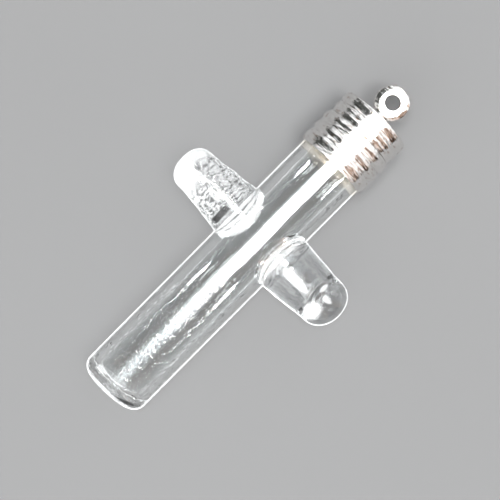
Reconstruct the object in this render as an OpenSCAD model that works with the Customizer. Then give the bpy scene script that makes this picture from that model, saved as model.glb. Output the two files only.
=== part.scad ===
// Cross-shaped glass bottle pendant, lying on a flat surface as it comes to rest by itself.
// A glass tube with a round bottom carries two solid glass arms. A ribbed metal collar is
// glued over its mouth, and a ribbed metal cap with a hanging loop closes it.
// Each piece is drawn about the bottle's own axes: the tube runs along +Y from its bottom at
// Y = 0, and the arms lie along X. at_rest() then lays the whole on the plane Z = 0: it leans
// on the collar and the tube's bottom, and is rolled until the right arm's tip touches too.

/* [Tube] */
// Outside diameter of the glass tube
tube_d = 6.6; // [5.6:0.1:7.6]
// Thickness of the tube's wall
tube_wall = 1.0; // [0.6:0.05:1.3]
// Length of glass that shows below the collar
tube_shown = 28.1; // [24:0.1:40]
// Thickness of the glass at the bottom
bottom_wall = 1.0; // [0.6:0.1:2]
// Radius of the bottom's outer edge
bottom_round = 1.1; // [0.5:0.1:1.8]
// Radius of the bottom's inner edge
floor_round = 0.9; // [0.4:0.1:1.4]

/* [Left arm] */
// Height of the left arm's axis above the tube's bottom
left_height = 19.4; // [14:0.05:22]
// Reach of the left arm from the tube's axis to its tip
left_reach = 9.9; // [8:0.1:13]
// Diameter of the left arm where it meets the tube
left_root_d = 5.6; // [4.4:0.1:6]
// Diameter of the left arm just before its round end
left_tip_d = 4.1; // [3:0.1:4.4]
// Length of the left arm's domed end
left_dome = 1.2; // [0.6:0.05:1.8]

/* [Right arm] */
// Height of the right arm's axis above the tube's bottom
right_height = 19.05; // [14:0.05:22]
// Reach of the right arm from the tube's axis to its tip
right_reach = 10.15; // [8:0.1:13]
// Diameter of the right arm where it meets the tube
right_root_d = 5.75; // [4.4:0.1:6]
// Diameter of the right arm just before its round end
right_tip_d = 4.8; // [3.4:0.1:5]
// Length of the right arm's domed end
right_dome = 1.53; // [0.8:0.05:2.2]

/* [Collar] */
// Thickness of the collar's metal at its ribs
collar_wall = 0.35; // [0.28:0.01:0.8]
// Depth of the grooves between the collar's ribs
collar_groove = 0.2; // [0.05:0.01:0.25]
// Number of ribs round the collar
collar_ribs = 3; // [2:1:5]
// Distance from one of the collar's grooves to the next
collar_pitch = 1.19; // [0.9:0.01:1.5]
// Depth of the glass mouth below the collar's top
mouth_inset = 0.2; // [0:0.05:0.5]

/* [Cap] */
// How far the cap's ribs stand in from the collar's
cap_inset = 0.12; // [0:0.02:0.4]
// Depth of the grooves between the cap's ribs
cap_groove = 0.14; // [0.05:0.01:0.25]
// Height of the plain step between the collar and the cap's first rib
cap_step = 0.4; // [0.2:0.05:0.8]
// Height of the cap's lower rib
cap_rib = 0.8; // [0.5:0.05:1.2]
// Height of the cap's upper rib, up to its flat top
cap_crown = 1.1; // [0.8:0.05:1.8]
// Radius of the cap's top edge
cap_edge = 0.3; // [0.1:0.05:0.5]
// Length of the cap's plain spigot in the glass mouth
spigot_length = 2.4; // [1.2:0.1:4]

/* [Loop] */
// Outside diameter of the hanging loop
loop_d = 3.36; // [2.8:0.02:4.4]
// Thickness of the loop's metal, flat on both faces and round outside
loop_thick = 1.06; // [0.8:0.02:1.2]
// Diameter of the loop's drilled hole
loop_bore_d = 1.36; // [1.3:0.02:2]
// Radius of the hole's eased edges
loop_edge = 0.1; // [0.04:0.02:0.2]
// Height of the hole's centre above the cap's top
loop_rise = 1.94; // [1.8:0.02:2.6]
// Diameter of the loop's stem where it stands on the cap
stem_base_d = 2.3; // [1.6:0.1:3]

/* [Fits] */
// Gap for the glue between the tube and the collar
glue_gap = 0.03; // [0.02:0.01:0.1]
// Running clearance of the spigot in the glass mouth, on the radius
spigot_clearance = 0.05; // [0.02:0.01:0.1]
// Gap between the collar's top and the cap
seam_gap = 0.03; // [0.02:0.01:0.1]
// Gap at the seam where each arm is fused to the tube
fuse_gap = 0.02; // [0.01:0.01:0.05]

/* [Hidden] */
$fn = 96;

// The arms' outlines, as shares: "along" of the way from the tube's axis to the domed end,
// and "swell" of the way from the tip's radius out to the root's.
LEFT_SHARES = [
    // along, swell
    [0.14, 1.00],
    [0.38, 0.88],
    [0.47, 0.66],
    [0.62, 0.42],
    [0.78, 0.17],
    [1.00, 0.00],
];
RIGHT_SHARES = [
    // along, swell
    [0.14, 1.00],
    [0.38, 0.88],
    [0.59, 0.56],
    [0.78, 0.20],
    [0.90, 0.02],
    [1.00, 0.00],
];
ALONG = 0;
SWELL = 1;

tube_r = tube_d / 2;
bore_r = tube_r - tube_wall;

// Heights along the tube, from its bottom
rim_y = tube_shown;
collar_top_y = rim_y + collar_ribs * collar_pitch;
mouth_y = collar_top_y - mouth_inset;
cap_y = collar_top_y + seam_gap;
cap_top_y = cap_y + cap_step + cap_rib + cap_crown;
loop_y = cap_top_y + loop_rise;
top_y = loop_y + loop_d / 2;

collar_bore_r = tube_r + glue_gap;
collar_r = collar_bore_r + collar_wall;
cap_r = collar_r - cap_inset;
spigot_r = bore_r - spigot_clearance;

// Radius of an arc that rises so far over its chord, as a rib or an arm's domed end does
function arc_radius(chord, rise) = (chord * chord / 4 + rise * rise) / (2 * rise);

// How far the bottle leans, so that its lowest rib and the round bottom's edge both touch down
rest_arc = arc_radius(collar_pitch, collar_groove);
rest_run = rim_y + collar_pitch / 2 - bottom_round;
rest_rise = collar_r - rest_arc - (tube_r - bottom_round);
lean = atan2(rest_rise, rest_run)
    + asin((rest_arc - bottom_round) / norm([rest_run, rest_rise]));

// Height of the tube's axis above the floor, where it passes the bottom and the right arm
axis_z = bottom_round + (tube_r - bottom_round) * cos(lean) - bottom_round * sin(lean);
right_axis_z = axis_z + right_height * sin(lean);

// How far the bottle rolls, so that the right arm touches down where its domed end begins
right_touch = right_reach - right_dome;
roll = asin(right_axis_z / norm([right_touch, right_tip_d / 2]))
    - atan2(right_tip_d / 2, right_touch);

// How far an arm with such a domed end stands out sideways from the tube's axis once rolled
function stand_out(reach, end_r) = (reach - end_r) * cos(roll) + end_r;

// The middle of the bounding box, seen from above
left_edge = stand_out(left_reach, arc_radius(left_tip_d, left_dome));
right_edge = stand_out(right_reach, arc_radius(right_tip_d, right_dome));
middle = [(right_edge - left_edge) / 2, top_y * cos(lean) / 2];

// Lays a piece drawn about the bottle's axes on the floor, as the whole comes to rest
module at_rest() {
    translate([-middle[0], -middle[1], axis_z])
        rotate([lean, 0, 0])
            rotate([0, roll, 0])
                children();
}

// Turns an outline drawn as [radius, height] round the tube's axis
module turned() {
    rotate([-90, 0, 0])
        rotate_extrude()
            children();
}

// Outline of a round-bottomed rod from the axis out to a radius
module round_bottomed(radius, low, high, round) {
    translate([0, low + round])
        square([radius, high - low - round]);
    translate([0, low])
        square([radius - round, round]);
    translate([radius - round, low + round])
        intersection() {
            circle(round);
            translate([0, -round])
                square(round);
        }
}

// Outline of a rib that swells from its groove's radius to its crest
module rib(crest_r, depth, low, width) {
    arc = arc_radius(width, depth);
    intersection() {
        translate([crest_r - arc, low + width / 2])
            circle(arc);
        translate([crest_r - depth, low])
            square([depth, width]);
    }
}

// A solid arm along +X from the tube's axis, seated on the tube's side
module arm(reach, root_d, tip_d, dome, shares) {
    straight = reach - dome;
    swell = (root_d - tip_d) / 2;
    end_r = arc_radius(tip_d, dome);
    difference() {
        rotate([0, 90, 0])
            rotate_extrude() {
                polygon(concat(
                    [[0, shares[0][ALONG] * straight]],
                    [for (row = shares) [tip_d / 2 + row[SWELL] * swell, row[ALONG] * straight]],
                    [[0, straight]]
                ));
                intersection() {
                    translate([0, reach - end_r])
                        circle(end_r);
                    translate([0, straight])
                        square([end_r, dome]);
                }
            }
        rotate([90, 0, 0])
            cylinder(h = 4 * tube_d, r = tube_r + fuse_gap, center = true);
    }
}

module tube() {
    color([0.80, 0.88, 0.90, 0.45])
        at_rest()
            turned()
                difference() {
                    round_bottomed(tube_r, 0, mouth_y, bottom_round);
                    round_bottomed(bore_r, bottom_wall, mouth_y + tube_wall, floor_round);
                }
}

module left_arm() {
    color([0.88, 0.93, 0.95, 0.6])
        at_rest()
            translate([0, left_height, 0])
                mirror([1, 0, 0])
                    arm(left_reach, left_root_d, left_tip_d, left_dome, LEFT_SHARES);
}

module right_arm() {
    color([0.84, 0.90, 0.93, 0.5])
        at_rest()
            translate([0, right_height, 0])
                arm(right_reach, right_root_d, right_tip_d, right_dome, RIGHT_SHARES);
}

module collar() {
    groove_r = collar_r - collar_groove;
    color("silver")
        at_rest()
            turned() {
                translate([collar_bore_r, rim_y])
                    square([groove_r - collar_bore_r, collar_top_y - rim_y]);
                for (i = [0 : collar_ribs - 1])
                    rib(collar_r, collar_groove, rim_y + i * collar_pitch, collar_pitch);
            }
}

// The cap's ribbed body, with its plain spigot
module cap_body() {
    groove_r = cap_r - cap_groove;
    rib_y = cap_y + cap_step;
    crown_y = rib_y + cap_rib;
    turned() {
        intersection() {
            union() {
                translate([0, cap_y])
                    square([groove_r, cap_top_y - cap_y]);
                rib(cap_r, cap_groove, rib_y, cap_rib);
                rib(cap_r, cap_groove, crown_y, cap_crown);
            }
            union() {
                translate([0, cap_y])
                    square([cap_r, cap_top_y - cap_edge - cap_y]);
                translate([0, cap_y])
                    square([groove_r - cap_edge, cap_top_y - cap_y]);
                translate([groove_r - cap_edge, cap_top_y - cap_edge])
                    circle(cap_edge);
            }
        }
        translate([0, cap_y - spigot_length])
            square([spigot_r, spigot_length]);
    }
}

// The hanging loop, with the hole's axis upright. Its stem is rooted in the cap's top and
// narrows to the loop's thickness.
module loop() {
    half_thick = loop_thick / 2;
    round_r = loop_d / 2 - half_thick;
    flat_r = loop_bore_d / 2 + loop_edge;
    translate([0, loop_y, 0])
        rotate_extrude() {
            translate([round_r, 0])
                circle(half_thick);
            translate([flat_r, -half_thick])
                square([round_r - flat_r, loop_thick]);
            translate([flat_r - loop_edge, loop_edge - half_thick])
                square([loop_edge, loop_thick - 2 * loop_edge]);
            for (side = [-1, 1])
                translate([flat_r, side * (half_thick - loop_edge)])
                    circle(loop_edge);
        }
    turned()
        polygon([
            [0, cap_top_y - cap_edge],
            [stem_base_d / 2, cap_top_y - cap_edge],
            [stem_base_d / 2, cap_top_y],
            [half_thick, loop_y - round_r],
            [0, loop_y - round_r],
        ]);
}

// The cap is screwed home with its loop level, whatever way the bottle has rolled
module cap() {
    color("silver")
        at_rest() {
            cap_body();
            rotate([0, -roll, 0])
                loop();
        }
}

tube();
left_arm();
right_arm();
collar();
cap();
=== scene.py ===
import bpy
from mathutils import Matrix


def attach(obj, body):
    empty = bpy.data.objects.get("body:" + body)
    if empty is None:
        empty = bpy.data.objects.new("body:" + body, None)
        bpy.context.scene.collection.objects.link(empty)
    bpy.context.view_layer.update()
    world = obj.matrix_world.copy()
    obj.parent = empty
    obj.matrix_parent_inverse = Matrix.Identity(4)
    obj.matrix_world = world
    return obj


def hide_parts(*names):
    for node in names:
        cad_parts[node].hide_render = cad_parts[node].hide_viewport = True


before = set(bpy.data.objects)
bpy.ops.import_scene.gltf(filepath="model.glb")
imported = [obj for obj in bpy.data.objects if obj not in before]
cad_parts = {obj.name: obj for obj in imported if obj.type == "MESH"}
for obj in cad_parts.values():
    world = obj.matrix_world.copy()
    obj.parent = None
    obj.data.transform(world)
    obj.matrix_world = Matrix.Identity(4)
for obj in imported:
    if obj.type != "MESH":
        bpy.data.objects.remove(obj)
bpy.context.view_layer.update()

import math

import bpy
import numpy as np
from mathutils import Vector

# A glass bottle pendant shaped as a cross, lying on a pale floor. Lengths are in millimetres
# about the bottle's own axes, as in the part's source: the tube runs along +Y from its bottom
# at Y = 0, the arms lie along X, and Z is up before the bottle leans and rolls to its rest.
MM = 0.001

TUBE_R = 3.3
TUBE_BORE_R = 2.3
TUBE_SHOWN = 28.1
BOTTOM_WALL = 1.0
BOTTOM_ROUND = 1.1
FLOOR_ROUND = 0.9
FLOOR_TILT = 0.2
BOTTOM_TILT = 0.12
MOUTH_ROUND = 0.22

COLLAR_BORE_R = 3.33
COLLAR_R = 3.68
COLLAR_GROOVE = 0.2
COLLAR_RIBS = 3
COLLAR_PITCH = 1.19
COLLAR_WIDTHS = (1.37, 1.09, 1.11)
COLLAR_TOP = TUBE_SHOWN + COLLAR_RIBS * COLLAR_PITCH
MOUTH = COLLAR_TOP - 0.2

CAP_FOOT = COLLAR_TOP + 0.03
CAP_R = 3.56
CAP_GROOVE = 0.14
CAP_STEP = 0.4
CAP_RIB = 0.8
CAP_CROWN = 1.1
CAP_EDGE = 0.3
CAP_TOP = CAP_FOOT + CAP_STEP + CAP_RIB + CAP_CROWN
SPIGOT_R = 2.25
SPIGOT_LENGTH = 2.4

LOOP_R = 1.68
LOOP_HALF = 0.53
LOOP_WIDE = 0.73
LOOP_BORE_R = 0.68
LOOP_EDGE = 0.1
LOOP_Y = CAP_TOP + 1.94
STEM_BASE_R = 1.15

# Each arm: side, height of its axis, reach, radii at the root and the tip, length of the domed
# end in the solids and of the round end here, its squareness, the rise of its axis, and its
# outline as shares. Then the rings round its foot and their rise, the depth of its waves, its
# dents (X, height over the axis, half lengths along both, depth above and under), and the
# crescents on its foot, pressed in relief and painted white as highlights (half lengths along
# both, the lines' rate and start, the share past which it is all white, and how far out it reaches)
LEFT = dict(side=-1, height=19.4, reach=9.9, root=2.8, tip=2.05, dome=1.2, end=1.75,
            square=2.35, rise=0.0,
            shares=[[0.14, 1.00], [0.38, 0.88], [0.47, 0.66],
                    [0.62, 0.42], [0.78, 0.17], [1.00, 0.00]],
            rings=2.6, ring_rise=0.06, waves=0.022, dent=(8.0, 0.3, 1.3, 1.2, 0.10, 0.12),
            foot=(2.15, 2.85, 27.0, 3.43, 0.6, 3.35))
RIGHT = dict(side=1, height=19.05, reach=10.15, root=2.875, tip=2.4, dome=1.53, end=2.05,
             square=2.2, rise=0.15,
             shares=[[0.14, 1.00], [0.38, 0.88], [0.59, 0.56],
                     [0.78, 0.20], [0.90, 0.02], [1.00, 0.00]],
             rings=2.2, ring_rise=0.05, waves=0.008, dent=(8.55, 0.44, 1.61, 1.92, 0.10, 0.0),
             foot=(1.85, 2.9, 18.5, 1.0, 1.0, 3.02))
# The fillet round each foot, how far the rings run past it at least, the ends of the arms' blocks
# along the tube, and the columns on each side of a block and the rows from its edge to the tip
FILLET = 0.14
RING_RUN = 0.3
BLOCK_LOW, BLOCK_HIGH = 14.0, 24.4
COLUMNS = 64
APRON_ROWS, FILLET_ROWS, RING_ROWS, ROD_ROWS, END_ROWS = 26, 13, 44, 40, 28

# Painted shade on top of the glass, in the swirl (also in relief), the oblong at the left arm's
# seam, the bottom's crescent and the right arm's body: X and height on the tube, and half lengths
# along both
SWIRL = ((-8.05, LEFT["height"] + 0.95), 0.46, 0.85)
SEAM_SHADE = ((-3.8, LEFT["height"] - 1.2), 0.34, 1.0)
CRESCENT = ((1.66, 0.6), 1.25, 0.2)
CRESCENT_SLOPE = 1.9
ARM_CORE_SHADE = ((6.2, RIGHT["height"]), 4.6, 2.6)
# Painted highlights, white spots on top of the glass: the same four, and their whiteness
PAINTED_HIGHLIGHTS = (
    (7.9, 17.75, 0.85, 1.0, 0.17),
    (4.85, 18.65, 1.8, 0.5, 0.14),
    (7.2, 19.92, 0.25, 0.5, 0.16),
    (8.15, 19.4, 0.55, 0.3, 0.16),
    (-1.65, 1.3, 0.6, 0.3, 0.12),
)


def rest_pose():
    """Lean and roll in radians, the axis's height and the middle, as the part's source works them
    out: the lowest rib, the round bottom's edge and the right arm's shoulder touch the floor."""
    rib = (COLLAR_PITCH ** 2 / 4 + COLLAR_GROOVE ** 2) / (2 * COLLAR_GROOVE)
    run = TUBE_SHOWN + COLLAR_PITCH / 2 - BOTTOM_ROUND
    rise = COLLAR_R - rib - (TUBE_R - BOTTOM_ROUND)
    lean = math.atan2(rise, run) + math.asin((rib - BOTTOM_ROUND) / math.hypot(run, rise))
    axis = BOTTOM_ROUND + (TUBE_R - BOTTOM_ROUND) * math.cos(lean) - BOTTOM_ROUND * math.sin(lean)
    touch, tip = RIGHT["reach"] - RIGHT["dome"], RIGHT["tip"]
    height = axis + RIGHT["height"] * math.sin(lean)
    roll = math.asin(height / math.hypot(touch, tip)) - math.atan2(tip, touch)
    edges = []
    for arm in (LEFT, RIGHT):
        end = (arm["tip"] ** 2 + arm["dome"] ** 2) / (2 * arm["dome"])
        edges.append((arm["reach"] - end) * math.cos(roll) + end)
    return lean, roll, axis, ((edges[1] - edges[0]) / 2, (LOOP_Y + LOOP_R) * math.cos(lean) / 2)


LEAN, ROLL, AXIS_Z, MIDDLE = rest_pose()


def at_rest(points, level=False):
    """Turns points drawn about the bottle's axes by the roll about Y, unless level, then by the
    lean about X, moves them to the rest place, and gives them in metres."""
    roll = 0.0 if level else ROLL
    x, y, z = points[..., 0], points[..., 1], points[..., 2]
    rolled_x = x * math.cos(roll) + z * math.sin(roll)
    rolled_z = z * math.cos(roll) - x * math.sin(roll)
    out_y = y * math.cos(LEAN) - rolled_z * math.sin(LEAN) - MIDDLE[1]
    out_z = y * math.sin(LEAN) + rolled_z * math.cos(LEAN) + AXIS_Z
    return np.stack([rolled_x - MIDDLE[0], out_y, out_z], -1) * MM


def arc(centre, radius, start, end, count):
    """Points on a circle from one angle to another, in degrees, as radius and height."""
    angle = np.radians(np.linspace(start, end, count))
    return np.stack([centre[0] + radius * np.cos(angle), centre[1] + radius * np.sin(angle)], -1)


def line(start, end, count):
    """Evenly spaced points on a straight line."""
    return np.linspace(start, end, count)


def revolve(profile, count=2 * COLUMNS):
    """Carries a profile of radius and height round the tube's axis: at each angle the radius goes
    along X and Z by its cosine and sine, and the height along Y."""
    angle = np.linspace(0, 2 * np.pi, count, endpoint=False) - np.pi / 2
    radius, height = profile[:, :1], profile[:, 1:]
    return np.stack([radius * np.cos(angle), height + 0 * angle, radius * np.sin(angle)], -1)


def ribs(foot, widths, crest, groove, rows=51):
    """Profile of ribs: from the crest the radius falls by the groove's depth times the square of
    the way to the valley. The last eighth of the way is rounded, so that the slope fades evenly to
    nothing, and the whole fall is scaled to the groove's depth."""
    round_from = 0.88
    way = np.abs(np.linspace(-1, 1, rows))
    past = np.clip(way - round_from, 0, None)
    rounded = round_from ** 2 + 2 * round_from * (past - past ** 2 / (2 - 2 * round_from))
    fall = np.where(way < round_from, way ** 2, rounded)
    radius = crest - groove * fall / round_from
    across = np.linspace(0, 1, rows)
    parts, low = [], foot
    for width in widths:
        parts.append(np.stack([radius, low + across * width], -1))
        low += width
    return np.vstack(parts)


def faces_of(grids, flips):
    """Quads between neighbours of each grid, whose columns close on themselves. Points closer than
    a ten-thousandth of a millimetre are one vertex, and a quad that loses a corner so, as at a
    pole, is a triangle."""
    points, quads, base = [], [], 0
    for grid, flip in zip(grids, flips):
        rows, columns = grid.shape[:2]
        index = base + np.arange(rows * columns).reshape(rows, columns)
        low, high = index[:-1], index[1:]
        quad = np.stack([low, high, np.roll(high, -1, 1), np.roll(low, -1, 1)], -1).reshape(-1, 4)
        quads.append(quad[:, ::-1] if flip else quad)
        points.append(grid.reshape(-1, 3))
        base += rows * columns
    points, quads = np.vstack(points), np.vstack(quads)
    _, first, same = np.unique(np.round(points / 1e-4).astype(np.int64), axis=0,
                               return_index=True, return_inverse=True)
    quads = same.ravel()[quads]
    equal = quads == np.roll(quads, -1, 1)
    whole = quads[~equal.any(1)]
    once = equal.sum(1) == 1
    slot = np.argmax(equal[once], 1)
    keep = np.arange(4)[None, :] != slot[:, None]
    triangles = quads[once][keep].reshape(-1, 3)
    return points[first], whole, triangles


def piece(name, grids, material, body, nodes, flips=None, level=None):
    """Makes one closed smooth mesh from grids and lays it at rest, standing for its nodes."""
    flips = flips or [False] * len(grids)
    level = level or [False] * len(grids)
    laid = [at_rest(grid, flat) / MM for grid, flat in zip(grids, level)]
    points, quads, triangles = faces_of(laid, flips)
    mesh = bpy.data.meshes.new(name)
    mesh.from_pydata((points * MM).tolist(), [], quads.tolist() + triangles.tolist())
    mesh.polygons.foreach_set("use_smooth", np.ones(len(mesh.polygons), bool))
    mesh.update()
    made = bpy.data.objects.new(name, mesh)
    bpy.context.scene.collection.objects.link(made)
    made.data.materials.append(material)
    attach(made, body)
    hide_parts(*nodes)
    return made


def arm_radius(arm, x):
    """Radius of an arm so far from the tube's axis: the mean of its straight-lined outline over
    0.6 mm either way, so that no corner shows. The outline's shares of the way run to the tip less
    0.7 of the round end."""
    shares = np.array(arm["shares"])
    around = x[..., None] + np.linspace(-0.6, 0.6, 9)
    way = around / (arm["reach"] - arm["end"] * 0.7)
    share = np.interp(way, shares[:, 0], shares[:, 1]).mean(-1)
    return arm["tip"] + share * (arm["root"] - arm["tip"])


def waves(arm, points):
    """Swells and pulls in the arm's wall by the sum of three slanting sine waves of unlike length,
    which fade out at the foot and at the tip."""
    x, y, z = points[..., 0], points[..., 1] - arm["height"], points[..., 2]
    turn = np.arctan2(y, z)
    sway = np.sin(1.9 * x + 2 * turn) + 0.8 * np.sin(3.1 * x - 3 * turn + 1.0)
    sway += 0.6 * np.sin(1.1 * x + 5 * turn)
    fade = np.clip((x - TUBE_R) / 1.5, 0, 1) * np.clip((arm["reach"] - x) / 1.2, 0, 1)
    swell = 1 + arm["waves"] * sway * fade / 2
    return np.stack([x, arm["height"] + y * swell, z * swell], -1)


def dent(arm, points):
    """Depth of the oval dents on top of the arm's end and under it: it falls with the square of
    the way out from their middle, so that each ends in an edge."""
    across, along, long, wide, above, under = arm["dent"]
    out = ((points[..., 0] - across) / long) ** 2
    out += ((points[..., 1] - arm["height"] - along) / wide) ** 2
    level = points[..., 2]
    return np.clip(1 - out, 0, 1) * (above * np.clip(level, 0, 1) - under * np.clip(-level, 0, 1))


def arm_block(arm):
    """Half of the tube's side with an arm on it, as one grid whose rows run from the block's square
    edge to the arm's tip. Unrolled, the first rows go straight from the square to the circle where
    the fillet starts. The fillet's height over the tube and its distance to the arm follow a
    quarter circle. Then come rings of the squared sine, as wide as the foot is there, and the
    radius follows the outline, and in the round end the superellipse whose sine and cosine are
    raised to two over its squareness, down to the pole. Last, waves and dents are laid on, and the
    axis sinks by a quarter of the arm's rise over the first quarter of the way and climbs evenly
    from there to half of the rise at the tip."""
    n = COLUMNS
    step = np.arange(n) / n
    half = np.pi / 2
    low, high = BLOCK_LOW, BLOCK_HIGH
    edge_u = np.concatenate([-half + np.pi * step, np.full(n, half),
                             half - np.pi * step, np.full(n, -half)])
    rise = low + (high - low) * step
    edge_v = np.concatenate([np.full(n, low), rise, np.full(n, high), high + low - rise])
    phi = np.radians(-135 + 90 * np.arange(4 * n) / n)
    cos, sin = np.cos(phi), np.sin(phi)

    start_x = np.full(4 * n, TUBE_R)
    for _ in range(6):
        wall = arm_radius(arm, start_x)
        start_x = np.sqrt(TUBE_R ** 2 - (wall * cos) ** 2) + FILLET
    foot = wall + FILLET
    foot_u = np.arcsin(foot * cos / TUBE_R)
    foot_v = arm["height"] + foot * sin

    way = 1 - (1 - np.linspace(0, 1, APRON_ROWS)[:, None]) ** 1.6
    u = edge_u + way * (foot_u - edge_u)
    v = edge_v + way * (foot_v - edge_v)
    apron = np.stack([TUBE_R * np.cos(u), v, TUBE_R * np.sin(u)], -1)

    bend = np.linspace(0, half, FILLET_ROWS)[1:, None]
    radius = wall + FILLET * (1 - np.sin(bend))
    x = np.sqrt(TUBE_R ** 2 - (radius * cos) ** 2) + FILLET * (1 - np.cos(bend))
    fillet = np.stack([x, arm["height"] + radius * sin, radius * cos], -1)

    width = np.clip(TUBE_R + 0.05 - start_x, 0, None) + RING_RUN
    way = np.linspace(0, 1, RING_ROWS)[1:, None]
    x = start_x + way * width
    radius = arm_radius(arm, x)
    ring = np.sin(np.pi * arm["rings"] * way) ** 2 * np.clip(cos, 0, 1)
    radius = radius + arm["ring_rise"] * width / 2 * ring
    root = np.stack([x, arm["height"] + radius * sin, radius * cos], -1)

    end_x, root_x = arm["reach"] - arm["end"], start_x + width
    way = np.linspace(0, 1, ROD_ROWS)[1:, None]
    x = root_x + way * (end_x - root_x)
    radius = arm_radius(arm, x)
    rod = np.stack([x, arm["height"] + radius * sin, radius * cos], -1)

    turn = np.linspace(0, half, END_ROWS)[1:, None]
    x = end_x + arm["end"] * np.sin(turn) ** (2 / arm["square"]) + 0 * phi
    radius = arm_radius(arm, x) * np.cos(turn) ** (2 / arm["square"])
    radius[-1] = 0
    dome = np.stack([x, arm["height"] + radius * sin, radius * cos], -1)

    grid = np.concatenate([apron, fillet, root, rod, dome])
    rows = len(apron) + len(fillet)
    grid[rows:] = waves(arm, grid[rows:])
    grid[rows:, :, 2] -= dent(arm, grid[rows:])
    along = np.clip((grid[..., 0] - TUBE_R) / (arm["reach"] - TUBE_R), 0, 1)
    grid[..., 1] += arm["rise"] * (along - 0.5 * np.clip(along * 4, 0, 1))
    grid[..., 0] *= arm["side"]
    return grid


def noise(tree, coordinates, scale, size, detail, turned=True):
    """Noise stretched by its own scale along the tube's X, Y and Z, in waves per millimetre."""
    mapping = tree.nodes.new("ShaderNodeMapping")
    mapping.inputs["Rotation"].default_value = (-LEAN, 0, 0) if turned else (0, 0, 0)
    mapping.inputs["Scale"].default_value = [part / MM for part in scale]
    texture = tree.nodes.new("ShaderNodeTexNoise")
    texture.inputs["Scale"].default_value = size
    texture.inputs["Detail"].default_value = detail
    tree.links.new(coordinates, mapping.inputs["Vector"])
    tree.links.new(mapping.outputs["Vector"], texture.inputs["Vector"])
    return texture.outputs["Fac"]


def remap(tree, value, low, high, to_low, to_high):
    """Carries a value from one range to another, and holds it at the ends."""
    node = tree.nodes.new("ShaderNodeMapRange")
    node.inputs["From Min"].default_value = low
    node.inputs["From Max"].default_value = high
    node.inputs["To Min"].default_value = to_low
    node.inputs["To Max"].default_value = to_high
    tree.links.new(value, node.inputs["Value"])
    return node.outputs["Result"]


def math_node(tree, operation, first, *others):
    """Joins values by an operation, two at a time from the left. Each is a socket or a number. A
    root, a sine or a size without its sign takes one value alone."""
    result = first
    for value in others or (0.0,):
        node = tree.nodes.new("ShaderNodeMath")
        node.operation = operation
        for term, socket in zip((result, value), node.inputs):
            if isinstance(term, (int, float)):
                socket.default_value = term
            else:
                tree.links.new(term, socket)
        result = node.outputs["Value"]
    return result


def product(tree, *values):
    """All values multiplied."""
    return math_node(tree, "MULTIPLY", *values)


def total(tree, *values):
    """All values added up."""
    return math_node(tree, "ADD", *values)


def greatest(tree, *values):
    """The greatest of the values."""
    return math_node(tree, "MAXIMUM", *values)


def close_to(tree, value, middle, full, none):
    """One within a distance of a middle value, falling evenly to nothing at a longer distance."""
    away = math_node(tree, "ABSOLUTE", math_node(tree, "SUBTRACT", value, middle))
    return remap(tree, away, full, none, 1.0, 0.0)


def blend_colour(tree, factor, first, second):
    """Colour that goes from one to the other by a factor, each a socket or three numbers."""
    node = tree.nodes.new("ShaderNodeMix")
    node.data_type = "RGBA"
    for value, socket in ((first, node.inputs["A"]), (second, node.inputs["B"])):
        if isinstance(value, tuple):
            socket.default_value = (*value, 1)
        else:
            tree.links.new(value, socket)
    tree.links.new(factor, node.inputs["Factor"])
    return node.outputs["Result"]


def paint(tree, colour, *layers):
    """Lays colours over a first one, in order, each by its own factor."""
    for factor, over in layers:
        colour = blend_colour(tree, factor, colour, over)
    return colour


def new_material(name):
    """A material with its node tree, shader and Object coordinates."""
    material = bpy.data.materials.new(name)
    material.use_nodes = True
    tree = material.node_tree
    place = tree.nodes.new("ShaderNodeTexCoord")
    return material, tree, tree.nodes["Principled BSDF"], place.outputs["Object"]


def bump(tree, shader, relief, distance):
    """Relief of so many metres where its value is one."""
    node = tree.nodes.new("ShaderNodeBump")
    node.inputs["Strength"].default_value = 1.0
    node.inputs["Distance"].default_value = distance
    tree.links.new(relief, node.inputs["Height"])
    tree.links.new(node.outputs["Normal"], shader.inputs["Normal"])


def let_lamps_through(tree, shader, share):
    """Lets that share of the light straight through every wall on its way to the floor, so that
    the floor under clear glass is lit evenly."""
    film = tree.nodes.new("ShaderNodeBsdfTransparent")
    film.inputs["Color"].default_value = (share, share, share, 1)
    path = tree.nodes.new("ShaderNodeLightPath")
    lit = greatest(tree, path.outputs["Is Shadow Ray"], path.outputs["Is Diffuse Ray"])
    mix = tree.nodes.new("ShaderNodeMixShader")
    tree.links.new(lit, mix.inputs["Fac"])
    tree.links.new(shader.outputs["BSDF"], mix.inputs[1])
    tree.links.new(film.outputs["BSDF"], mix.inputs[2])
    tree.links.new(mix.outputs["Shader"], tree.nodes["Material Output"].inputs["Surface"])


def oval_shares(tree, split, centre, long, wide):
    """How far a point lies from an oval's centre along X and Y, as shares of its half lengths."""
    shares = []
    x, y = centre[0] - MIDDLE[0], centre[1] - MIDDLE[1]
    for axis, middle, half in (("X", x, long), ("Y", y, wide)):
        away = math_node(tree, "SUBTRACT", split.outputs[axis], middle * MM)
        shares.append(math_node(tree, "DIVIDE", away, half * MM))
    return shares


def oval_out(tree, shares):
    """How far out a point lies in an oval: the root of the sum of its squared shares, 0 at the
    middle and 1 at the edge."""
    return math_node(tree, "SQRT", total(tree, *[product(tree, share, share) for share in shares]))


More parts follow.
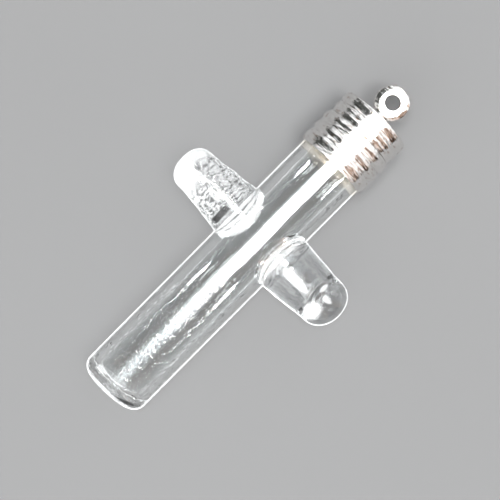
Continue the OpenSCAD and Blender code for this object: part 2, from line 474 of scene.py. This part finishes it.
def foot_relief_and_highlight(tree, split, top, arm):
    """Crescents on top of an arm's foot, pressed in relief and painted white as highlights. Their
    share of the foot's half length at that height over the arm is the share along X over the root
    of one less the squared share along Y, so all meet at the foot's two ends, and a thin clear
    line runs where its sine is near the lowest."""
    long, wide, lines, start, inner, reach = arm["foot"]
    shares = oval_shares(tree, split, (arm["side"] * TUBE_R, arm["height"]), long, wide)
    within = remap(tree, oval_out(tree, shares), 0.95, 1.0, 1.0, 0.0)
    height = math_node(tree, "SUBTRACT", 1.0, product(tree, shares[1], shares[1]))
    height = math_node(tree, "SQRT", greatest(tree, height, 0.01))
    lens = math_node(tree, "DIVIDE", math_node(tree, "ABSOLUTE", shares[0]), height)
    wave = math_node(tree, "SINE", total(tree, product(tree, lens, lines), start))
    white = greatest(tree, remap(tree, wave, -0.9, -0.35, 0.0, 1.0),
                     remap(tree, lens, inner, inner + 0.02, 0.0, 1.0))
    outward = product(tree, split.outputs["X"], arm["side"])
    on_tube = remap(tree, outward, (reach - 0.1) * MM, reach * MM, 1.0, 0.0)
    return product(tree, white, within, on_tube, top)


def skin_on_top(tree, split):
    """One on the tube's and the arms' outer skin where it faces up, and nothing in the bore: the
    distance from the tube's axis is well over the bore's radius, and the height over the axis's."""
    axis_z = AXIS_Z + LEFT["height"] * math.sin(LEAN)
    x = total(tree, split.outputs["X"], MIDDLE[0] * MM)
    z = math_node(tree, "SUBTRACT", split.outputs["Z"], axis_z * MM)
    away = math_node(tree, "SQRT", total(tree, product(tree, x, x), product(tree, z, z)))
    return product(tree, remap(tree, away, 2.7 * MM, 2.9 * MM, 0.0, 1.0),
                   remap(tree, z, -0.2 * MM, 0.2 * MM, 0.0, 1.0))


def streak_grain(tree, place, split):
    """Fine grain low down in the tube, and less of it from the arms down near the middle, where it
    makes the bright streak's edges ragged."""
    across, along = split.outputs["X"], split.outputs["Y"]
    low_down = remap(tree, along, -5.5 * MM, -9 * MM, 0.05, 1.0)
    middle = product(tree, close_to(tree, across, 0.0, 0.7 * MM, 1.0 * MM), 0.35,
                     remap(tree, along, -1.4 * MM, -3.0 * MM, 0.0, 1.0))
    fine = noise(tree, place, (1.0, 0.7, 1.0), 3.4, 1.0)
    return product(tree, fine, greatest(tree, low_down, middle))


def swirl_with_painted_shade(tree, split, top, seeds):
    """Swirl near the left arm's tip, in relief and painted dark as shade: a ring in an oval, open
    towards one side, whose edges are eaten away by noise."""
    shares = oval_shares(tree, split, *SWIRL)
    ring = close_to(tree, oval_out(tree, shares), 0.8, 0.15, 0.4)
    opening = remap(tree, math_node(tree, "SUBTRACT", shares[1], shares[0]), 0.45, 1.1, 1.0, 0.0)
    return product(tree, ring, opening, top, remap(tree, seeds, 0.45, 0.6, 1.0, 0.1))


def painted_shade_patches(tree, split, top):
    """Painted shade: the dark oblong in the left arm's root, for the seam's dark mirror image, by
    the greater of its shares along X and Y, and the dark slanting crescent in the tube's bottom,
    for dark surroundings seen through its round corner."""
    shares = [math_node(tree, "ABSOLUTE", share) for share in oval_shares(tree, split, *SEAM_SHADE)]
    oblong = remap(tree, greatest(tree, *shares), 0.8, 1.0, 1.0, 0.0)
    across, along = oval_shares(tree, split, *CRESCENT)
    along = math_node(tree, "SUBTRACT", along, product(tree, across, CRESCENT_SLOPE))
    crescent = remap(tree, oval_out(tree, (across, along)), 0.7, 1.0, 1.0, 0.0)
    return product(tree, greatest(tree, oblong, crescent), top)


def painted_highlights(tree, split, seeds):
    """The greatest whiteness of all the painted highlights, whose edges noise makes uneven."""
    uneven = remap(tree, seeds, 0.3, 0.7, -0.2, 0.2)
    spots = 0.0
    for x, y, long, wide, whiteness in PAINTED_HIGHLIGHTS:
        out = total(tree, oval_out(tree, oval_shares(tree, split, (x, y), long, wide)), uneven)
        spots = greatest(tree, spots, remap(tree, out, 0.75, 1.0, whiteness, 0.0))
    return spots


def bead_line(tree, split):
    """Line along the inner edge of the round bead at the right arm's end, where its dent ends."""
    x, height, long, wide = RIGHT["dent"][:4]
    out = oval_out(tree, oval_shares(tree, split, (x, RIGHT["height"] + height), long, wide))
    return product(tree, close_to(tree, out, 1.0, 0.0, 0.14),
                   remap(tree, split.outputs["X"], 8.2 * MM, 8.8 * MM, 1.0, 0.0))


def clear_glass():
    """Clear soda glass: lines drawn along the tube, grain low down, a pale band under the collar
    painted as the reflection of the collar's rim, crescents in the arms' feet pressed in relief
    and painted white as highlights, and a bright rim where it is seen edge on. The left arm is
    rippled and frosted, with dark specks painted as shade, a swirl in relief painted dark as
    shade, and a dark oblong of painted shade. The right arm is painted darker in its body as
    shade, with painted highlights, specks of painted shade at its root and the line of the round
    bead at its end. The dark crescent in the bottom is painted shade."""
    material, tree, shader, place = new_material("clear_glass")
    shader.inputs["IOR"].default_value = 1.5
    drawn = noise(tree, place, (1.0, 0.02, 1.0), 4.2, 3.0)
    ripple = noise(tree, place, (1.0, 1.0, 1.0), 1.2, 3.0)
    seeds = noise(tree, place, (1.8, 0.8, 1.0), 3.4, 3.0)
    sway = noise(tree, place, (1.0, 0.16, 1.0), 1.0, 1.0)
    split = tree.nodes.new("ShaderNodeSeparateXYZ")
    tree.links.new(place, split.inputs["Vector"])
    across, along = split.outputs["X"], split.outputs["Y"]

    top = skin_on_top(tree, split)
    on_left = remap(tree, across, -3.3 * MM, -3.7 * MM, 0.0, 1.0)
    on_right = remap(tree, across, 3.1 * MM, 3.6 * MM, 0.0, 1.0)
    slanted = total(tree, across, product(tree, along, 0.41))
    left_foot, right_foot = [foot_relief_and_highlight(tree, split, top, arm) for arm in (LEFT, RIGHT)]
    grain, bead = streak_grain(tree, place, split), bead_line(tree, split)
    swirl, dark = swirl_with_painted_shade(tree, split, top, seeds), painted_shade_patches(tree, split, top)
    spots = painted_highlights(tree, split, seeds)
    # Painted reflection: a pale beige, slightly milky band in the colour just under the collar
    # stands in for the collar's rim mirrored in the glass
    collar_rim_reflection = remap(tree, along, 8.62 * MM, 8.74 * MM, 0.0, 1.0)

    # Painted shade: dark specks in the colour, off the left arm's tip and at the right arm's root,
    # stand in for dark surroundings seen through the rippled glass
    off_tip = product(tree, on_left, remap(tree, slanted, -7.6 * MM, -6.4 * MM, 0.1, 1.0))
    right_root = close_to(tree, across, 3.4 * MM, 0.25 * MM, 0.35 * MM)
    specks = product(tree, remap(tree, seeds, 0.40, 0.47, 0.95, 0.0),
                     greatest(tree, off_tip, right_root), top)
    # Painted shade: the right arm's body is darkened in colour to stand for the shaded floor seen
    # through it, except where highlights are painted
    core_shade = remap(tree, oval_out(tree, oval_shares(tree, split, *ARM_CORE_SHADE)), 0.7, 1.0, 0.7, 0.0)
    core_shade = product(tree, core_shade, on_right, top, remap(tree, spots, 0.0, 0.12, 1.0, 0.0))
    tint = blend_colour(tree, remap(tree, drawn, 0.4, 0.6, 0.0, 1.0),
                        (0.985, 0.995, 0.995), (0.93, 0.96, 0.955))
    tint = paint(tree, tint, (specks, (0.12, 0.125, 0.125)), (core_shade, (0.30, 0.305, 0.31)),
                 # Painted reflection of the collar's rim, then painted shade in the dark oblong and
                 # crescent
                 (product(tree, collar_rim_reflection, 0.8), (0.80, 0.765, 0.69)), (dark, (0.03, 0.03, 0.03)),
                 # Painted shade: the swirl darkened in colour
                 (product(tree, swirl, 0.8), (0.08, 0.08, 0.09)))
    tree.links.new(tint, shader.inputs["Base Color"])

    lower_half = greatest(tree, remap(tree, along, 1.9 * MM, 0.9 * MM, 0.7, 1.0),
                          remap(tree, across, -8.2 * MM, -8.9 * MM, 0.0, 1.0))
    frost = product(tree, lower_half, remap(tree, seeds, 0.45, 0.55, 0.01, 0.15))
    tip = product(tree, remap(tree, slanted, -7.2 * MM, -7.8 * MM, 0.0, 0.16),
                  remap(tree, seeds, 0.35, 0.45, 0.7, 1.0))
    clear = math_node(tree, "SUBTRACT", 1.0, greatest(tree, swirl, dark))
    frost = product(tree, greatest(tree, frost, tip), on_left, top, clear)
    edge_on = tree.nodes.new("ShaderNodeLayerWeight")
    rim = remap(tree, edge_on.outputs["Facing"], 0.64, 0.80, 0.0, 0.42)
    # Painted highlights: the white spots and the feet's crescents are made milky white to stand in
    # for glints and reflections
    milky = greatest(tree, frost, product(tree, spots, top), product(tree, left_foot, 0.15),
                     product(tree, right_foot, 0.12), product(tree, collar_rim_reflection, 0.05), rim)
    tree.links.new(math_node(tree, "SUBTRACT", 1.0, milky), shader.inputs["Transmission Weight"])

    rough = product(tree, on_left, remap(tree, ripple, 0.35, 0.65, 0.01, 0.07))
    tree.links.new(total(tree, rough, 0.006), shader.inputs["Roughness"])

    rippled = total(tree, product(tree, ripple, 3.0), product(tree, seeds, 5.0))
    relief = [product(tree, rippled, on_left), product(tree, ripple, 1.5, on_right)]
    for part, share in ((drawn, 0.3), (grain, 2.2), (sway, 1.5), (bead, -6.0), (swirl, -4.0),
                        (left_foot, 0.5), (right_foot, 0.5)):
        relief.append(product(tree, part, share))
    bump(tree, shader, total(tree, *relief), 0.02 * MM)
    let_lamps_through(tree, shader, 0.84)
    return material


def silver_plate():
    """Bright silver plating: fine turned lines round the tube, hand-polished waviness, dull
    patches, and spots where the plating is worn through to the brown brass."""
    material, tree, shader, place = new_material("silver_plate")
    shader.inputs["Metallic"].default_value = 1.0
    turned = noise(tree, place, (0.5, 3.2, 0.5), 1.0, 3.0)
    waviness = noise(tree, place, (0.7, 1.4, 0.7), 1.5, 2.0)
    patches = noise(tree, place, (1.0, 1.0, 1.0), 0.9, 4.0)
    worn = noise(tree, place, (1.0, 1.9, 1.0), 1.9, 5.0)
    worn = remap(tree, worn, 0.59, 0.67, 0.0, 0.85)
    tint = blend_colour(tree, patches, (0.90, 0.885, 0.87), (0.80, 0.785, 0.76))
    tint = blend_colour(tree, worn, tint, (0.40, 0.29, 0.22))
    tree.links.new(tint, shader.inputs["Base Color"])
    rough = total(tree, remap(tree, patches, 0.35, 0.7, 0.03, 0.09), product(tree, worn, 0.12))
    tree.links.new(rough, shader.inputs["Roughness"])
    relief = total(tree, product(tree, turned, 14.0), product(tree, waviness, 4.0),
                   product(tree, worn, -0.3))
    bump(tree, shader, relief, 0.01 * MM)
    return material


def pale_floor():
    """Plain pale grey floor, hardly uneven in tone."""
    material, tree, shader, place = new_material("pale_floor")
    grain = noise(tree, place, (0.02, 0.02, 0.02), 1.0, 2.0, turned=False)
    tint = blend_colour(tree, grain, (0.072, 0.072, 0.0725), (0.078, 0.078, 0.0785))
    tree.links.new(tint, shader.inputs["Base Color"])
    shader.inputs["Roughness"].default_value = 0.8
    return material


def glass_grids():
    """The glass: outer bottom and wall, both arm blocks, upper wall, mouth, bore and floor. The
    outer bottom and the floor rise in proportion to X, by their tilts at the wall, and this fades
    evenly to nothing up the wall."""
    shoulder = TUBE_R - BOTTOM_ROUND
    below = np.vstack([
        line((0, 0), (shoulder, 0), 10)[:-1],
        arc((shoulder, BOTTOM_ROUND), BOTTOM_ROUND, -90, 0, 16),
        line((TUBE_R, BOTTOM_ROUND), (TUBE_R, BLOCK_LOW), 30)[1:],
    ])
    bottom = revolve(below)
    fade = np.clip(1 - bottom[..., 1] / 2.5, 0, 1)
    bottom[..., 1] += BOTTOM_TILT * bottom[..., 0] / TUBE_R * fade
    inner = TUBE_BORE_R - FLOOR_ROUND
    floor = BOTTOM_WALL + FLOOR_ROUND
    above = np.vstack([
        line((TUBE_R, BLOCK_HIGH), (TUBE_R, MOUTH - MOUTH_ROUND), 20)[:-1],
        arc((TUBE_R - MOUTH_ROUND, MOUTH - MOUTH_ROUND), MOUTH_ROUND, 0, 90, 7),
        arc((TUBE_BORE_R + MOUTH_ROUND, MOUTH - MOUTH_ROUND), MOUTH_ROUND, 90, 180, 7),
        line((TUBE_BORE_R, MOUTH - MOUTH_ROUND), (TUBE_BORE_R, floor), 60)[1:-1],
        arc((inner, floor), FLOOR_ROUND, 0, -90, 14),
        line((inner, BOTTOM_WALL), (0, BOTTOM_WALL), 10)[1:],
    ])
    upper = revolve(above)
    fade = np.clip((floor + 1 - upper[..., 1]) / 1.5, 0, 1)
    upper[..., 1] += FLOOR_TILT * upper[..., 0] / TUBE_BORE_R * fade
    return [bottom, arm_block(RIGHT), arm_block(LEFT), upper], [False, False, True, False]


def collar_grid():
    """The collar: ribs outside, then its top, bore and foot, whose edges are round."""
    groove_r, edge = COLLAR_R - COLLAR_GROOVE, 0.05
    return revolve(np.vstack([
        ribs(TUBE_SHOWN, COLLAR_WIDTHS, COLLAR_R, COLLAR_GROOVE),
        line((groove_r - edge, COLLAR_TOP), (COLLAR_BORE_R, COLLAR_TOP), 2),
        line((COLLAR_BORE_R, COLLAR_TOP - edge), (COLLAR_BORE_R, TUBE_SHOWN + edge), 20),
        line((COLLAR_BORE_R, TUBE_SHOWN), (groove_r, TUBE_SHOWN), 3),
    ]), 192)


def cap_grids():
    """The cap: spigot, step, two ribs, round top edge and stem as one turned shape, and the loop as
    a section whose outer side is half an ellipse, carried round the hole. Up the stem the radius
    narrows by the power 2.2 of the way left, and the height goes by the power 1.15 of the way."""
    groove_r = CAP_R - CAP_GROOVE
    chamfer = 0.2
    crown = ribs(CAP_FOOT + CAP_STEP, [CAP_RIB, CAP_CROWN], CAP_R, CAP_GROOVE)
    low_edge = CAP_TOP - CAP_EDGE
    crown = crown[crown[:, 1] < low_edge]
    last = crown[-1, 0]
    stem_rise = LOOP_Y - (LOOP_R - LOOP_HALF) - CAP_TOP
    up = np.linspace(0, 1, 16)
    stem = np.stack([LOOP_HALF * 0.96 + (STEM_BASE_R - LOOP_HALF) * (1 - up) ** 2.2,
                     CAP_TOP + stem_rise * up ** 1.15], -1)
    body = revolve(np.vstack([
        line((0, CAP_FOOT - SPIGOT_LENGTH), (SPIGOT_R - chamfer, CAP_FOOT - SPIGOT_LENGTH), 6),
        arc((SPIGOT_R - chamfer, CAP_FOOT - SPIGOT_LENGTH + chamfer), chamfer, -80, 0, 6),
        line((SPIGOT_R, CAP_FOOT - 1.9), (SPIGOT_R, CAP_FOOT - 0.1), 10),
        line((SPIGOT_R + 0.1, CAP_FOOT), (groove_r - 0.05, CAP_FOOT), 5),
        line((groove_r, CAP_FOOT + 0.05), (groove_r, CAP_FOOT + CAP_STEP - 0.02), 6),
        crown,
        arc((last - CAP_EDGE, low_edge), CAP_EDGE, 0, 90, 10),
        line((last - CAP_EDGE - 0.1, CAP_TOP), (STEM_BASE_R + 0.25, CAP_TOP), 12),
        stem,
        line(tuple(stem[-1]), (0, stem[-1][1]), 4)[1:],
    ]), 192)
    middle, flat = LOOP_R - LOOP_WIDE, LOOP_BORE_R + LOOP_EDGE
    inner = LOOP_HALF - LOOP_EDGE
    section = np.vstack([
        arc((flat, -inner), LOOP_EDGE, 180, 270, 6),
        line((flat, -LOOP_HALF), (middle, -LOOP_HALF), 6)[1:-1],
        arc((0, 0), 1, -90, 90, 24) * (LOOP_WIDE, LOOP_HALF) + (middle, 0),
        line((middle, LOOP_HALF), (flat, LOOP_HALF), 6)[1:-1],
        arc((flat, inner), LOOP_EDGE, 90, 180, 6),
        line((LOOP_BORE_R, inner), (LOOP_BORE_R, -inner), 6)[1:],
    ])
    turn = np.linspace(0, 2 * np.pi, 96, endpoint=False)
    loop = np.stack([section[:, :1] * np.cos(turn), LOOP_Y + section[:, :1] * np.sin(turn),
                     section[:, 1:] + 0 * turn], -1)
    return body, loop


glass, silver = clear_glass(), silver_plate()
grids, flips = glass_grids()
bottle = piece("glass_bottle", grids, glass, "bottle",
               ("tube", "left_arm", "right_arm"), flips)
piece("ribbed_collar", [collar_grid()], silver, "bottle", ("collar",))
piece("ribbed_cap", list(cap_grids()), silver, "cap", ("cap",),
      flips=[False, True], level=[False, True])


def stage_plane(name, size, material):
    """A flat floor of that half size at Z = 0."""
    mesh = bpy.data.meshes.new(name)
    corners = [(-size, -size, 0), (size, -size, 0), (size, size, 0), (-size, size, 0)]
    mesh.from_pydata(corners, [], [(0, 1, 2, 3)])
    made = bpy.data.objects.new(name, mesh)
    bpy.context.scene.collection.objects.link(made)
    made.data.materials.append(material)


def soft_light(name, place, size, radiance, colour=(1, 1, 1), towards=(0, 0, 0)):
    """A rectangular soft light that faces a point, of that radiance over its whole area."""
    data = bpy.data.lights.new(name, "AREA")
    data.shape = "RECTANGLE"
    data.size, data.size_y = size
    data.energy = radiance * math.pi * size[0] * size[1]
    data.color = colour
    made = bpy.data.objects.new(name, data)
    made.location = place
    way = Vector(place) - Vector(towards)
    made.rotation_euler = way.to_track_quat("Z", "Y").to_euler()
    bpy.context.scene.collection.objects.link(made)
    return made


def edge_light(name, place, radiance):
    """A low lamp that only brings out the glass's rims: no mirror image or bent view shows it."""
    made = soft_light(name, place, (0.9, 0.12), radiance)
    made.visible_glossy = made.visible_transmission = False


stage_plane("pale_floor", 1.5, pale_floor())
soft_light("bright_window", (0.038, 0.026, 0.40), (0.28, 0.12), 42.0, towards=(0.038, 0.026, 0))
soft_light("lower_window", (0.022, -0.066, 0.40), (0.13, 0.075), 5.0, (0.88, 0.96, 1.0),
           (0.022, -0.066, 0))
soft_light("long_strip", (0.045, 0.0, 0.42), (0.34, 1.3), 1.0, (0.93, 0.97, 1.0), (0.045, 0, 0))
soft_light("near_softbox", (0.02, -0.42, 0.30), (0.50, 0.26), 2.5)
soft_light("far_softbox", (0.02, 0.46, 0.26), (0.46, 0.20), 1.5)
# Four small lamps light the glass alone and make the thin sparks beside its streak
on_glass = bpy.data.collections.new("on_glass")
on_glass.objects.link(bottle)
for name, side in (("left", -1), ("right", 1)):
    edge_light(f"{name}_edge_light", (side * 0.48, 0, 0.07), 15.0)
    for height, along, length in (("high", 0.040, 0.011), ("low", -0.038, 0.013)):
        place = (side * 0.40, along, 0.29)
        spark = soft_light(f"{name}_{height}_spark", place, (length, 0.06), 70.0)
        spark.light_linking.receiver_collection = on_glass
edge_light("near_edge_light", (0, -0.48, 0.07), 30.0)
edge_light("far_edge_light", (0, 0.48, 0.07), 7.0)


def studio_walls():
    """Surroundings by direction: pale in front and behind, and low at both sides dark on the left
    with grey at the middle, and on the right brown at the middle, cream round it and darkest at
    the end."""
    world = bpy.data.worlds.new("studio_walls")
    world.use_nodes = True
    tree = world.node_tree
    place = tree.nodes.new("ShaderNodeTexCoord")
    split = tree.nodes.new("ShaderNodeSeparateXYZ")
    tree.links.new(place.outputs["Generated"], split.inputs["Vector"])
    across, along = split.outputs["X"], math_node(tree, "ABSOLUTE", split.outputs["Y"])

    def up_to(low, high):
        """One near the middle line, falling to nothing between two distances along."""
        return remap(tree, along, low, high, 1.0, 0.0)

    left = product(tree, remap(tree, across, -0.41, -0.35, 1.0, 0.0), up_to(0.50, 0.57))
    right = remap(tree, across, 0.42, 0.56, 0.0, 1.0)
    end = remap(tree, across, 0.86, 0.95, 0.0, 1.0)
    pale = (1.35, 1.37, 1.40)
    colour = paint(tree, pale,
                   (product(tree, right, up_to(0.42, 0.62)), (0.95, 0.70, 0.57)),
                   (product(tree, right, up_to(0.16, 0.34)), (0.20, 0.115, 0.075)),
                   (left, (0.03, 0.033, 0.03)),
                   (product(tree, left, up_to(0.10, 0.15)), (0.17, 0.175, 0.17)),
                   (product(tree, end, up_to(0.30, 0.44)), (0.035, 0.02, 0.015)))
    tree.links.new(colour, tree.nodes["Background"].inputs["Color"])
    bpy.context.scene.world = world


studio_walls()

# The camera looks straight down on the middle of the photo and is turned as the photo is
camera = bpy.data.objects.new("camera", bpy.data.cameras.new("camera"))
camera.data.lens = 83.4
camera.data.sensor_width = 36
camera.data.clip_start, camera.data.clip_end = 0.01, 10
camera.location = (0.000075, -0.00106, 0.107)
camera.rotation_euler = (0, 0, math.radians(44.75))
bpy.context.scene.collection.objects.link(camera)
bpy.context.scene.camera = camera
bpy.context.scene.view_settings.view_transform = "Standard"

bpy.context.view_layer.update()
